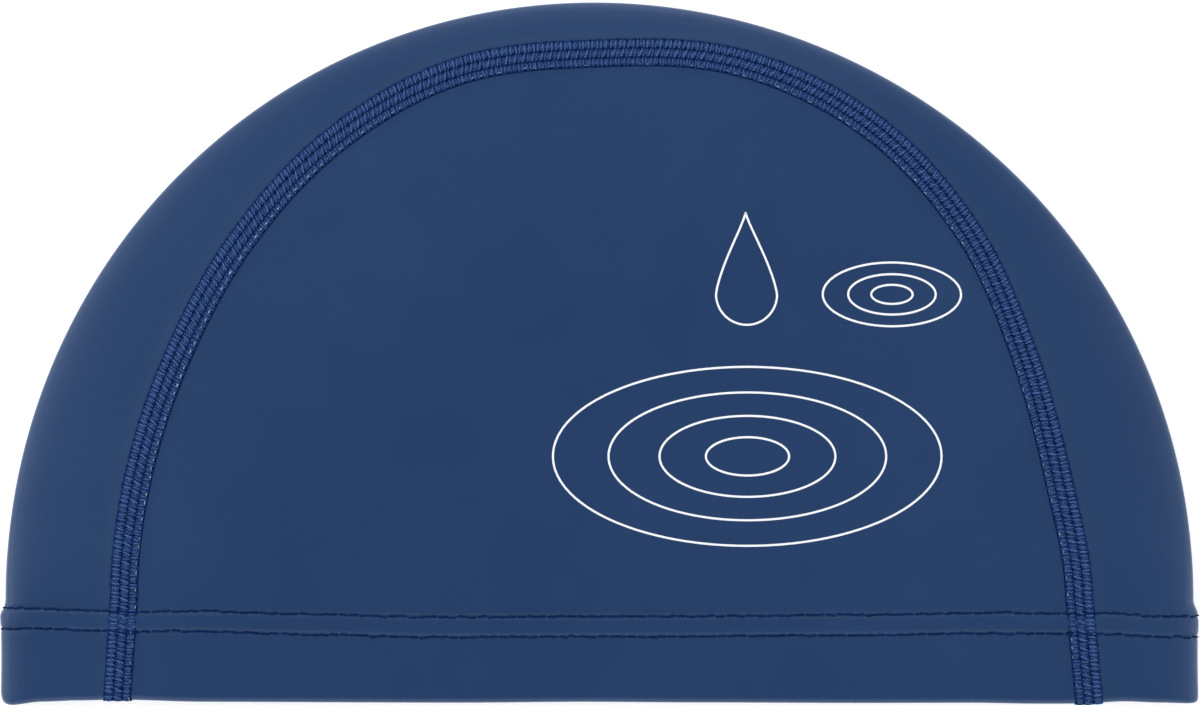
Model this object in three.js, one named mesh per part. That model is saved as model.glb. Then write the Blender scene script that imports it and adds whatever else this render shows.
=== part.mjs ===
// A fabric swim cap, lying flat on its side as it does when it is not worn.
// Two half-round side panels are joined by one narrow crown strip, which runs from the front
// of the mouth over the crown to the back, and which is folded in half along its middle when
// the cap lies flat. A flatlock seam of thread joins each panel to the strip. At the mouth all
// of the cloth, seams included, is turned inwards as a hem.
// Units are millimetres. +X runs along the mouth, +Y from the mouth to the crown, +Z is up.
import * as THREE from "three";
import { mergeVertices } from "three/addons/utils/BufferGeometryUtils.js";

// Plan of the flat cap
const DOME_RADIUS = 129; // from the dome's centre to the fold of the crown strip
const CROWN_LEAN = -1.2; // sideways lean of the crown's top
const LEAN_POWER = 3; // how late the lean comes in on the way up
const HEM_DEPTH = 20.6; // depth of the cloth that is turned in at the mouth
const HEM_EASE = 2.4; // from the hem's inner edge up to the dome's centre
const HEM_BULGE = 1.1; // how far the doubled hem stands outside the dome's fold
const BULGE_FADE = 4.4; // length over which that bulge dies out, up to the dome's centre

// Cloth and seams
const CLOTH = 1; // thickness of the coated cloth
const HEM_SLIT = 0.3; // between the two layers of the hem
const SEAM_WIDTH = 6; // over the outermost threads
const SEAM_PROUD = 0.35; // how far the threads stand above the cloth
const EDGE_GAP = 0.3; // between the seam and the cloth edge on each side of it
const STRIP_HALF_WIDTH = 25.4; // from the fold to the middle of the seam, just above the hem
const SEAM_FLARE = 1.7; // how far the seams spread outwards on their way down the hem

// Height of the lying cap
const BELLY_HEIGHT = 13.4; // top of the upper panel, well inside the dome
const MOUTH_HEIGHT = 11.6; // the same at the mouth
const BELLY_DISTANCE = 70; // from the mouth to where the full height is reached
const RISE_POWER = 2.2; // how early the top rises on its way in from the fold
const FOLD_ROOM = 1.2; // inside radius of the crown strip's fold
const HEM_FOLD_ROOM = 1.1; // inside radius of the same fold where the hem doubles it
const FOLD_BLEND = 9; // length over which the hem's thicker fold eases into the thin one
const LIFT_FADE = 12; // how far from the seam the underside comes down to the floor

// The strip's half width round the dome, as a share of STRIP_HALF_WIDTH, from right to left
const STRIP_SHARES = [
  { angle: 0, share: 0.97 },
  { angle: 15, share: 1.02 },
  { angle: 30, share: 0.88 },
  { angle: 45, share: 0.62 },
  { angle: 60, share: 0.41 },
  { angle: 75, share: 0.36 },
  { angle: 90, share: 0.45 },
  { angle: 105, share: 0.45 },
  { angle: 120, share: 0.57 },
  { angle: 135, share: 0.78 },
  { angle: 150, share: 0.93 },
  { angle: 165, share: 1.01 },
  { angle: 180, share: 1 },
];

// Fineness of the facets
const DOME_STEPS = 44;
const FOLD_STEPS = 6;
const TURN_STEPS = 4;
const BULGE_STEPS = 3;
const UPPER_ROWS = 8;
const LOWER_ROW_SHARES = [0.5, 0.8, 0.92, 1]; // closest near the seam, where the panel lifts
const MERGE_DISTANCE = 0.001;

// Sizes that follow from those above
const DOME_BASE = HEM_DEPTH + HEM_EASE;
const TURN_RADIUS = CLOTH + HEM_SLIT / 2;
const THIN_FOLD = CLOTH + FOLD_ROOM;
const HEM_FOLD = 2 * TURN_RADIUS + HEM_FOLD_ROOM;
const UNDERSIDE_LIFT = SEAM_PROUD;
const SEAM_EDGE = SEAM_WIDTH / 2;
const CLOTH_EDGE = SEAM_EDGE + EDGE_GAP;
const CAP_LENGTH = DOME_BASE + DOME_RADIUS;

// Rows of the hem, as heights above the mouth on the outer layer
const PANEL_HEM_ROWS = [TURN_RADIUS, HEM_DEPTH, DOME_BASE];
const BULGE_ROWS = Array.from(
  { length: BULGE_STEPS + 1 },
  (_, i) => DOME_BASE - BULGE_FADE * (1 - i / BULGE_STEPS),
);
const STRIP_HEM_ROWS = [TURN_RADIUS, HEM_DEPTH / 2, ...BULGE_ROWS];

const coatedBlue = new THREE.MeshStandardMaterial({ color: 0x2b4469, roughness: 0.55, metalness: 0 });
const threadBlue = new THREE.MeshStandardMaterial({ color: 0x2c4a86, roughness: 0.8, metalness: 0 });

function smooth(from, to, value) {
  return THREE.MathUtils.smoothstep(value, from, to);
}

// Middle of the strip's seam, as a distance in from the fold, at an angle round the dome
function seamDepth(angle) {
  const step = STRIP_SHARES[1].angle - STRIP_SHARES[0].angle;
  const last = STRIP_SHARES.length - 1;
  const at = THREE.MathUtils.clamp(angle / step, 0, last);
  const i = Math.min(Math.floor(at), last - 1);
  const share = (k) => STRIP_SHARES[THREE.MathUtils.clamp(k, 0, last)].share;
  const t = at - i;
  const slopeIn = (share(i + 1) - share(i - 1)) / 2;
  const slopeOut = (share(i + 2) - share(i)) / 2;
  const cubic =
    share(i) * (1 + 2 * t) * (1 - t) ** 2 +
    slopeIn * t * (1 - t) ** 2 +
    share(i + 1) * t ** 2 * (3 - 2 * t) -
    slopeOut * t ** 2 * (1 - t);
  return cubic * STRIP_HALF_WIDTH;
}

// Half width of the flat cap at a height above the mouth, below the dome's centre
function foldReach(y) {
  return DOME_RADIUS + HEM_BULGE * (1 - smooth(DOME_BASE - BULGE_FADE, DOME_BASE, y));
}

function foldRadius(y) {
  return THREE.MathUtils.lerp(HEM_FOLD, THIN_FOLD, smooth(HEM_DEPTH, HEM_DEPTH + FOLD_BLEND, y));
}

// Distance from the cap's middle line to the middle of the seam, in the hem
function hemSeamReach(side, y) {
  const straight = DOME_RADIUS - seamDepth(side > 0 ? 0 : 180);
  return straight + (SEAM_FLARE * (DOME_BASE - y)) / DOME_BASE;
}

// The rise of the upper face in from the fold: its height and its slope angle
function topProfile(depth, reach, y) {
  const radius = foldRadius(y);
  const height = THREE.MathUtils.lerp(MOUTH_HEIGHT, BELLY_HEIGHT, smooth(0, BELLY_DISTANCE, y));
  const rise = height - UNDERSIDE_LIFT - 2 * radius;
  const edgeAngle = Math.atan((RISE_POWER * rise) / (reach - radius));
  const start = radius * (1 - Math.sin(edgeAngle));
  const left = 1 - THREE.MathUtils.clamp((depth - start) / (reach - start), 0, 1);
  const z = UNDERSIDE_LIFT + radius * (1 + Math.cos(edgeAngle)) + rise * (1 - left ** RISE_POWER);
  const slope = (rise * RISE_POWER * left ** (RISE_POWER - 1)) / (reach - start);
  return { z, angle: Math.atan(slope), edgeAngle };
}

// Plan places: a point on the fold, the direction in from it, and the seam's distance in
function domePlace(angle) {
  const a = THREE.MathUtils.degToRad(angle);
  const out = new THREE.Vector2(Math.cos(a), Math.sin(a));
  const fold = out.clone().multiplyScalar(DOME_RADIUS).add(new THREE.Vector2(0, DOME_BASE));
  return { fold, inward: out.negate(), reach: DOME_RADIUS, seam: seamDepth(angle) };
}

function hemPlace(side, y) {
  const reach = foldReach(y);
  const fold = new THREE.Vector2(side * reach, y);
  const inward = new THREE.Vector2(-side, 0);
  return { fold, inward, reach, seam: reach - hemSeamReach(side, y) };
}

// The place whose inward line passes through a plan point inside the cap
function placeThrough(x, y) {
  if (y <= DOME_BASE) return hemPlace(x < 0 ? -1 : 1, y);
  return domePlace(THREE.MathUtils.radToDeg(Math.atan2(y - DOME_BASE, x)));
}

// A point of the cap: a plan place, a distance in from the fold and a height, then the lean
function spot(place, depth, z) {
  const plan = place.inward.clone().multiplyScalar(depth).add(place.fold);
  const lean = CROWN_LEAN * (plan.y / CAP_LENGTH) ** LEAN_POWER;
  return new THREE.Vector3(plan.x + lean, plan.y, z);
}

// Points on the upper face, round the fold and on the underside, set in by an offset
function upperPoint(place, depth, offset) {
  const y = place.fold.y + place.inward.y * depth;
  const { z, angle } = topProfile(depth, place.reach, y);
  return spot(place, depth + offset * Math.sin(angle), z - offset * Math.cos(angle));
}

function foldPoint(place, share, offset) {
  const radius = foldRadius(place.fold.y);
  const { edgeAngle } = topProfile(0, place.reach, place.fold.y);
  const turn = THREE.MathUtils.lerp(edgeAngle, Math.PI, share);
  const arm = radius - offset;
  return spot(place, radius - arm * Math.sin(turn), UNDERSIDE_LIFT + radius + arm * Math.cos(turn));
}

function underPoint(place, depth, offset) {
  const clear = depth - place.seam - CLOTH_EDGE;
  return spot(place, depth, UNDERSIDE_LIFT * (1 - smooth(0, LIFT_FADE, clear)) + offset);
}

// The hem as seen along the cloth: first the turned-in layer from its edge down to the mouth,
// then round the turn and up the outer layer. Each row gives a height above the mouth, and the
// offsets of the cloth's face and back. proud lifts the face off the cloth.
function hemRows(outerHeights) {
  const rows = [HEM_DEPTH, TURN_RADIUS].map((y) => ({
    y: () => y,
    face: (proud) => 2 * TURN_RADIUS + proud,
    backY: y,
    back: 2 * TURN_RADIUS - CLOTH,
  }));
  for (let i = 1; i < TURN_STEPS; i++) {
    const turn = (Math.PI * i) / TURN_STEPS;
    const inner = TURN_RADIUS - CLOTH;
    rows.push({
      y: (proud) => TURN_RADIUS - (TURN_RADIUS + proud) * Math.sin(turn),
      face: (proud) => TURN_RADIUS + (TURN_RADIUS + proud) * Math.cos(turn),
      backY: TURN_RADIUS - inner * Math.sin(turn),
      back: TURN_RADIUS + inner * Math.cos(turn),
    });
  }
  for (const y of outerHeights) {
    rows.push({ y: () => y, face: (proud) => -proud, backY: y, back: CLOTH });
  }
  return rows;
}

// A closed solid from a grid of rows, each with as many face points as back points
function sheetSolid(rows) {
  const columns = rows[0].face.length;
  const corners = [];
  const quad = (a, b, c, d) => corners.push(a, b, c, a, c, d);
  for (let r = 0; r + 1 < rows.length; r++) {
    const [low, high] = [rows[r], rows[r + 1]];
    for (let c = 0; c + 1 < columns; c++) {
      quad(low.face[c], low.face[c + 1], high.face[c + 1], high.face[c]);
      quad(low.back[c], high.back[c], high.back[c + 1], low.back[c + 1]);
    }
    const end = columns - 1;
    quad(low.face[0], high.face[0], high.back[0], low.back[0]);
    quad(low.face[end], low.back[end], high.back[end], high.face[end]);
  }
  const [first, last] = [rows[0], rows[rows.length - 1]];
  for (let c = 0; c + 1 < columns; c++) {
    quad(first.face[c], first.back[c], first.back[c + 1], first.face[c + 1]);
    quad(last.face[c], last.face[c + 1], last.back[c + 1], last.back[c]);
  }
  return closedGeometry(corners);
}

// Joins equal corners, drops the triangles that vanish where columns meet, and turns the faces out
function closedGeometry(corners) {
  const positions = new THREE.Float32BufferAttribute(corners.flatMap((p) => p.toArray()), 3);
  const loose = new THREE.BufferGeometry().setAttribute("position", positions);
  const merged = mergeVertices(loose, MERGE_DISTANCE);
  const at = merged.getAttribute("position");
  const point = (i) => new THREE.Vector3().fromBufferAttribute(at, i);
  const kept = [];
  let volume = 0;
  for (let i = 0; i < merged.index.count; i += 3) {
    const [a, b, c] = [0, 1, 2].map((k) => merged.index.getX(i + k));
    if (a === b || b === c || c === a) continue;
    kept.push(a, b, c);
    volume += point(a).dot(point(b).cross(point(c)));
  }
  merged.setIndex(volume < 0 ? kept.reverse() : kept);
  const flat = merged.toNonIndexed();
  flat.computeVertexNormals();
  return flat;
}

// Angles of the dome's stations, from the left end of the mouth over the crown to the right
const DOME_ANGLES = Array.from({ length: DOME_STEPS + 1 }, (_, i) => 180 - (180 * i) / DOME_STEPS);

// The long way over the cap, from the turned-in edge at the left to the one at the right.
// section(place, lift, back) gives one row's points; lift is the face's offset from the cloth.
function overCrown(section) {
  const left = hemRows(STRIP_HEM_ROWS).map((row) => ({ row, side: -1 }));
  const right = hemRows(STRIP_HEM_ROWS).map((row) => ({ row, side: 1 })).reverse();
  const hem = ({ row, side }) => ({
    face: section((proud) => hemPlace(side, row.y(proud)), row.face),
    back: section(() => hemPlace(side, row.backY), () => row.back),
  });
  const dome = DOME_ANGLES.slice(1, -1).map((angle) => ({
    face: section(() => domePlace(angle), (proud) => -proud),
    back: section(() => domePlace(angle), () => CLOTH),
  }));
  return [...left.map(hem), ...dome, ...right.map(hem)];
}

// The crown strip: up to the seam on the upper face, round the fold, and to the seam below
function crownStrip() {
  const section = (placeAt, offsetAt) => {
    const place = placeAt(0);
    const offset = offsetAt(0);
    const edge = place.seam - CLOTH_EDGE;
    const foldStart = foldRadius(place.fold.y);
    const middle = (edge + foldStart) / 2;
    const points = [upperPoint(place, edge, offset), upperPoint(place, middle, offset)];
    for (let i = 0; i <= FOLD_STEPS; i++) {
      points.push(foldPoint(place, i / FOLD_STEPS, offset));
    }
    points.push(underPoint(place, middle, offset), underPoint(place, edge, offset));
    return points;
  };
  return sheetSolid(overCrown(section));
}

// A seam: a band of thread that stands proud of the cloth, with bevelled edges
function seamBand(pointOn) {
  const bevel = SEAM_PROUD;
  const columns = [
    { across: -SEAM_EDGE, proud: 0 },
    { across: -SEAM_EDGE + bevel, proud: SEAM_PROUD },
    { across: 0, proud: SEAM_PROUD },
    { across: SEAM_EDGE - bevel, proud: SEAM_PROUD },
    { across: SEAM_EDGE, proud: 0 },
  ];
  const section = (placeAt, offsetAt) =>
    columns.map(({ across, proud }) => {
      const place = placeAt(proud);
      return pointOn(place, place.seam + across, offsetAt(proud));
    });
  return sheetSolid(overCrown(section));
}

// A side panel: columns run from the turned-in edge, round the hem, and up to the seam
function sidePanel(pointOn, domeShares) {
  const inside = (x, y, offset) => {
    const place = placeThrough(x, y);
    const depth = place.reach - Math.hypot(x, Math.max(0, y - DOME_BASE));
    return pointOn(place, depth, offset);
  };
  const hemEdge = (side, y) => side * (hemSeamReach(side, y) - CLOTH_EDGE);
  const across = (i, y) => THREE.MathUtils.lerp(hemEdge(-1, y), hemEdge(1, y), i / DOME_STEPS);
  const indexes = DOME_ANGLES.map((_, i) => i);
  const rows = hemRows(PANEL_HEM_ROWS).map((row) => ({
    face: indexes.map((i) => inside(across(i, row.y(0)), row.y(0), row.face(0))),
    back: indexes.map((i) => inside(across(i, row.backY), row.backY, row.back)),
  }));
  for (const share of domeShares) {
    const at = (i, offset) => {
      const place = domePlace(DOME_ANGLES[i]);
      const top = place.inward.clone().multiplyScalar(place.seam + CLOTH_EDGE).add(place.fold);
      const plan = new THREE.Vector2(across(i, DOME_BASE), DOME_BASE).lerp(top, share);
      return inside(plan.x, plan.y, offset);
    };
    rows.push({
      face: indexes.map((i) => at(i, 0)),
      back: indexes.map((i) => at(i, CLOTH)),
    });
  }
  return sheetSolid(rows);
}

function piece(name, geometry, material) {
  const mesh = new THREE.Mesh(geometry, material);
  mesh.name = name;
  return mesh;
}

const upperShares = Array.from({ length: UPPER_ROWS }, (_, i) => (i + 1) / UPPER_ROWS);

const cap = new THREE.Group();
cap.add(
  piece("side_panel_upper", sidePanel(upperPoint, upperShares), coatedBlue),
  piece("side_panel_lower", sidePanel(underPoint, LOWER_ROW_SHARES), coatedBlue),
  piece("crown_strip", crownStrip(), coatedBlue),
  piece("seam_upper", seamBand(upperPoint), threadBlue),
  piece("seam_lower", seamBand(underPoint), threadBlue),
);

// The origin is the middle of the cap's outline, on the surface that it lies on
cap.position.y = -(CAP_LENGTH - SEAM_PROUD) / 2;

export default cap;
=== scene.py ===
# %% [markdown]
# # A cloth swim cap, laid flat
# This notebook dresses a swim cap in Blender. The cap is sewn from three pieces of coated
# stretch cloth: two half-round side panels and one narrow crown strip. It lies flat on its
# side, so that the strip is folded in half round the edge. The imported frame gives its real
# size, and everything here is in metres: +X along the mouth, +Y towards the crown, +Z up.

# %% Load the frame
import math

import bmesh
import bpy
import numpy as np
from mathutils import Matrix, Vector


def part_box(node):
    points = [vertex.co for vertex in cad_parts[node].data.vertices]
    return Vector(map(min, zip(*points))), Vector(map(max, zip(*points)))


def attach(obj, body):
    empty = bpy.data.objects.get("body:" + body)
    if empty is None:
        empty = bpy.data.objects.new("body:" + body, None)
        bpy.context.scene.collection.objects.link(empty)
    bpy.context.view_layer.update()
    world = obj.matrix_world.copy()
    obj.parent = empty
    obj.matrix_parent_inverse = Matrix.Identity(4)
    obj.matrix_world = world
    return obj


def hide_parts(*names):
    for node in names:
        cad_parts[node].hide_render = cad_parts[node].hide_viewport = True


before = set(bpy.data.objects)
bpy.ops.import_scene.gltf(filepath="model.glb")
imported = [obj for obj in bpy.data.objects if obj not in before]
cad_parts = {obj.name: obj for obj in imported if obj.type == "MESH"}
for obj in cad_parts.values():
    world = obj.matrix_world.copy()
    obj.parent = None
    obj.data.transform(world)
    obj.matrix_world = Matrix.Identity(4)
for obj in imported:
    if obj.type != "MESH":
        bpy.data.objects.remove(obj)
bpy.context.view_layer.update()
BODY = "root"
scene = bpy.context.scene

# %% [markdown]
# ## The camera
# A flat cap is photographed from straight above with a long lens, so that its sides don't
# lean away. The picture's width at the cap is a real length, and the lens follows from it.

# %% Place the camera
PICTURE_WIDTH = 0.2606
CAMERA_HEIGHT = 1.5
OUTLINE_HEIGHT = 0.0035
AIM = Vector((0.0001, 0.0001, OUTLINE_HEIGHT))

camera_data = bpy.data.cameras.new("camera")
camera_data.sensor_width = 36
camera_data.lens = camera_data.sensor_width * CAMERA_HEIGHT / PICTURE_WIDTH
camera = bpy.data.objects.new("camera", camera_data)
camera.location = AIM + Vector((0, 0, CAMERA_HEIGHT))
scene.collection.objects.link(camera)
scene.camera = camera
print("the lens is", round(camera_data.lens), "mm long")

# %% [markdown]
# ## Light
# The cloth has a matt coating, which shines softly wherever it leans away from the camera. A
# white light tent gives that shine: its walls are bright down to the table, and overhead it is
# dark, round the hole for the camera, because a bright roof would put a grey veil on the flat
# middle of the cap. Four softboxes outside it add a little more light, mostly from the left.

# %% Pitch the tent and hang the softboxes
TENT_LIGHT = [(0.0, 1.3), (0.3, 1.2), (0.6, 0.75), (0.85, 0.26), (1.0, 0.05)]
SOFTBOX_DISTANCE = 1.2
SOFTBOX_HEIGHT = 0.8
SOFTBOX_SIZE = 1.3
SOFTBOX_WATTS = {"left": 9.6, "right": 5.0, "back": 6.8, "front": 5.2}
SOFTBOX_SIDES = {"left": (-1, 0.25), "right": (1, 0), "back": (0, 1), "front": (0, -1)}

for side, (x, y) in SOFTBOX_SIDES.items():
    softbox_data = bpy.data.lights.new("softbox_" + side, "AREA")
    softbox_data.size = SOFTBOX_SIZE
    softbox_data.energy = SOFTBOX_WATTS[side]
    softbox = bpy.data.objects.new("softbox_" + side, softbox_data)
    softbox.location = (x * SOFTBOX_DISTANCE, y * SOFTBOX_DISTANCE, SOFTBOX_HEIGHT)
    softbox.rotation_euler = (-softbox.location).to_track_quat("-Z", "Y").to_euler()
    softbox.visible_camera = False
    scene.collection.objects.link(softbox)

tent = bpy.data.worlds.new("light_tent")
tent.use_nodes = True
tent_nodes = tent.node_tree.nodes
tent_links = tent.node_tree.links
direction = tent_nodes.new("ShaderNodeTexCoord").outputs["Generated"]
split = tent_nodes.new("ShaderNodeSeparateXYZ")
tent_links.new(direction, split.inputs["Vector"])
walls = tent_nodes.new("ShaderNodeValToRGB")
brightest = max(light for _, light in TENT_LIGHT)
while len(walls.color_ramp.elements) < len(TENT_LIGHT):
    walls.color_ramp.elements.new(0.5)
for element, (height, light) in zip(walls.color_ramp.elements, TENT_LIGHT):
    element.position = height
    element.color = (light / brightest, light / brightest, light / brightest, 1)
tent_links.new(split.outputs["Z"], walls.inputs["Fac"])
tent_links.new(walls.outputs["Color"], tent_nodes["Background"].inputs["Color"])
tent_nodes["Background"].inputs["Strength"].default_value = brightest
scene.world = tent
scene.view_settings.view_transform = "Standard"
print("hung", len(SOFTBOX_SIDES), "softboxes")

# %% [markdown]
# ## Materials made of nodes
# Each finish is built from Noise textures on object coordinates. The pieces all sit at the
# origin, so object coordinates are real metres, and a noise of a stated size keeps that size
# on every piece. Small helpers keep the recipes short.

# %% Node helpers
def srgb(red, green, blue):
    """A colour seen on a screen, 0 to 255, as the linear colour that Blender wants."""
    shares = [value / 255 for value in (red, green, blue)]
    return [s / 12.92 if s <= 0.04045 else ((s + 0.055) / 1.055) ** 2.4 for s in shares] + [1]


class Finish:
    """A material with its Principled shader and the nodes that feed it."""

    def __init__(self, name, roughness, **constants):
        self.material = bpy.data.materials.new(name)
        self.material.use_nodes = True
        self.nodes = self.material.node_tree.nodes
        self.shader = self.nodes["Principled BSDF"]
        self.shader.inputs["Roughness"].default_value = roughness
        for socket, value in constants.items():
            self.shader.inputs[socket.replace("_", " ")].default_value = value
        self.place = self.nodes.new("ShaderNodeTexCoord").outputs["Object"]

    def link(self, start, end):
        self.material.node_tree.links.new(start, end)

    def noise(self, size, detail=2.0, stretch=(1, 1, 1)):
        """Noise with features of about this size, in metres."""
        mapping = self.nodes.new("ShaderNodeMapping")
        mapping.inputs["Scale"].default_value = stretch
        self.link(self.place, mapping.inputs["Vector"])
        texture = self.nodes.new("ShaderNodeTexNoise")
        texture.inputs["Scale"].default_value = 1 / size
        texture.inputs["Detail"].default_value = detail
        self.link(mapping.outputs["Vector"], texture.inputs["Vector"])
        return texture.outputs["Fac"]

    def ramp(self, value, stops):
        """A colour for each value: stops are pairs of a position and a colour."""
        ramp = self.nodes.new("ShaderNodeValToRGB")
        elements = ramp.color_ramp.elements
        while len(elements) < len(stops):
            elements.new(0.5)
        for element, (position, colour) in zip(elements, stops):
            element.position = position
            element.color = colour
        self.link(value, ramp.inputs["Fac"])
        return ramp.outputs["Color"]

    def spread(self, value, low, high):
        """Maps a 0 to 1 value to the range from low to high."""
        mapped = self.nodes.new("ShaderNodeMapRange")
        mapped.inputs["To Min"].default_value = low
        mapped.inputs["To Max"].default_value = high
        self.link(value, mapped.inputs["Value"])
        return mapped.outputs["Result"]

    def combine(self, kind, first, second):
        """Math of two values."""
        math_node = self.nodes.new("ShaderNodeMath")
        math_node.operation = kind
        self.link(first, math_node.inputs[0])
        self.link(second, math_node.inputs[1])
        return math_node.outputs["Value"]

    def shade(self, colour, value):
        """A colour made darker by a value from 0 to 1."""
        mixer = self.nodes.new("ShaderNodeMix")
        mixer.data_type = "RGBA"
        mixer.blend_type = "MULTIPLY"
        mixer.inputs["Factor"].default_value = 1
        self.link(colour, mixer.inputs["A"])
        self.link(value, mixer.inputs["B"])
        return mixer.outputs["Result"]

    def stored(self, name):
        """A number that the mesh keeps for each of its points."""
        attribute = self.nodes.new("ShaderNodeAttribute")
        attribute.attribute_name = name
        return attribute.outputs["Fac"]

    def bump(self, height, depth):
        """Raises the surface by height, a 0 to 1 value, times depth in metres."""
        bump = self.nodes.new("ShaderNodeBump")
        bump.inputs["Distance"].default_value = depth
        self.link(height, bump.inputs["Height"])
        self.link(bump.outputs["Normal"], self.shader.inputs["Normal"])

    def colour(self, value):
        self.link(value, self.shader.inputs["Base Color"])

    def roughness(self, value):
        self.link(value, self.shader.inputs["Roughness"])


print("a mid grey on a screen is", round(srgb(128, 128, 128)[0], 3), "in linear light")

# %% [markdown]
# ## The floor
# The cap lies on a plain sheet of white acrylic that is lit a little from below, as product
# photographers do to keep the shadow faint. A fine grain stops it looking like empty space, and
# its far edges are out of sight in every view.

# %% Lay the floor
FLOOR_SIZE = 6.0
FLOOR_GLOW = 0.55

acrylic = Finish("lit_acrylic", roughness=0.8, Emission_Color=(1, 1, 1, 1), Emission_Strength=FLOOR_GLOW)
acrylic_tints = [(0.3, srgb(212, 213, 215)), (0.7, srgb(217, 218, 220))]
acrylic.colour(acrylic.ramp(acrylic.noise(0.02), acrylic_tints))
acrylic.bump(acrylic.noise(0.0006, detail=4), 0.00002)
bpy.ops.mesh.primitive_grid_add(x_subdivisions=8, y_subdivisions=8, size=FLOOR_SIZE)
floor = bpy.context.object
floor.name = "floor"
floor.data.materials.append(acrylic.material)
print("the floor is", FLOOR_SIZE, "m wide")

# %% [markdown]
# ## The cap's plan
# Seen from above, the cap is a half circle on top of a short straight stretch: the hem. The
# overall size comes from the frame, and the rest are a tailor's measures. The strip is not
# equally wide all the way round, so its half width is a short table of shares, one for every
# 15 degrees of the dome from its right end to its left end.

# %% Sizes of the cap
strip_low, strip_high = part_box("crown_strip")
HEM_REACH = (strip_high.x - strip_low.x) / 2
CAP_LENGTH = strip_high.y - strip_low.y
MOUTH_Y = strip_low.y
HEM_BULGE = 0.0011
BULGE_LOW, BULGE_HIGH = 0.0186, 0.0222
HEM_WAIST = 0.0002
CORNER_HEIGHT = 0.0039
CORNER_CUTS = {"left": 0.0009, "right": 0.0001}
CORNER_POWER = 2.5
DOME_RADIUS = HEM_REACH - HEM_BULGE
DOME_BASE = CAP_LENGTH - DOME_RADIUS
CROWN_LEAN = -0.0012
LEAN_POWER = 3

CLOTH = 0.001
HEM_DEPTH = 0.0206
HEM_SLIT = 0.0003
TURN_RADIUS = CLOTH + HEM_SLIT / 2
STRIP_HALF_WIDTH = 0.0254
STRIP_SHARES = [0.991, 1.036, 0.9, 0.636, 0.425, 0.357, 0.442, 0.446, 0.589, 0.781, 0.942, 1.015, 1.026]
SHARE_STEP = math.pi / (len(STRIP_SHARES) - 1)
SEAM_FLARES = {"left": 0.00155, "right": 0.00225}

BELLY_HEIGHT = 0.0134
MOUTH_HEIGHT = 0.0116
BELLY_DISTANCE = 0.07
RISE_POWER = 2.2
THIN_FOLD = CLOTH + 0.001
HEM_FOLD = 2 * TURN_RADIUS + 0.0006
FOLD_BLEND = 0.022
SHOULDER_RISE = 0.0004
SHOULDER_LENGTH = 0.0025
SEAM_PROUD = 0.00045
HEM_STITCH_PROUD = 0.0002
LIFT_FADE = 0.012
SEAM_HALF_WIDTH = 0.0033
print("dome radius", round(DOME_RADIUS, 4), "and its centre", round(DOME_BASE, 4), "above the mouth")

# %% [markdown]
# ## The cap as a surface
# Every thread and every piece of cloth lies on one surface, so that surface is written down
# once, as functions. A place on the fold knows where it is, which way leads inwards and how
# far in its seam lies. From there, three functions give points on the upper face, round the
# fold and on the underside. An offset sets a point into the cloth, or out of it if negative.

# %% Places on the fold
def mix(first, second, share):
    return first + (second - first) * share


def smooth(low, high, value):
    share = min(max((value - low) / (high - low), 0), 1)
    return share * share * (3 - 2 * share)


def seam_depth(angle):
    """From the fold to the middle of the seam, at an angle round the dome."""
    last = len(STRIP_SHARES) - 1
    at = min(max(angle / SHARE_STEP, 0), last)
    i = min(int(at), last - 1)
    t = at - i
    before, start, end, after = (STRIP_SHARES[min(max(k, 0), last)] for k in range(i - 1, i + 3))
    slope_in = (end - before) / 2
    slope_out = (after - start) / 2
    share = (
        start * (1 + 2 * t) * (1 - t) ** 2
        + slope_in * t * (1 - t) ** 2
        + end * t**2 * (3 - 2 * t)
        - slope_out * t**2 * (1 - t)
    )
    return share * STRIP_HALF_WIDTH


def side_name(side):
    return "right" if side > 0 else "left"


def fold_reach(side, y):
    bulge = HEM_BULGE * (1 - smooth(BULGE_LOW, BULGE_HIGH, y))
    waist = HEM_WAIST * math.sin(math.pi * min(max(y / HEM_DEPTH, 0), 1))
    corner = CORNER_CUTS[side_name(side)] * min(max(1 - y / CORNER_HEIGHT, 0), 1) ** CORNER_POWER
    return DOME_RADIUS + bulge - waist - corner


def hem_seam_reach(side, y):
    """From the middle of the cap to the middle of the seam, in the hem."""
    straight = DOME_RADIUS - seam_depth(0 if side > 0 else math.pi)
    flare = SEAM_FLARES[side_name(side)]
    return straight + flare * (DOME_BASE - y) / DOME_BASE


class Place:
    """A point on the fold, the direction in from it, and how far in the seam is."""

    def __init__(self, fold, inward, reach, seam):
        self.fold = fold
        self.inward = inward
        self.reach = reach
        self.seam = seam


def dome_place(angle):
    out = (math.cos(angle), math.sin(angle))
    fold = (DOME_RADIUS * out[0], DOME_BASE + DOME_RADIUS * out[1])
    return Place(fold, (-out[0], -out[1]), DOME_RADIUS, seam_depth(angle))


def hem_place(side, y):
    reach = fold_reach(side, y)
    return Place((side * reach, y), (-side, 0), reach, reach - hem_seam_reach(side, y))


def place_through(x, y):
    """The place whose inward line runs through a point of the plan."""
    if y <= DOME_BASE:
        return hem_place(-1 if x < 0 else 1, y)
    return dome_place(math.atan2(y - DOME_BASE, x))


print("the strip is", round(2 * seam_depth(math.pi / 2), 4), "m wide at the crown")

# %% [markdown]
# The mouth's edge isn't quite straight: it waves by about a millimetre, as stretch cloth does
# when it is hemmed. The two rows of hem stitches wander in the same way. Short tables,
# read off the photo, give both; the wave's is in millimetres.

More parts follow.
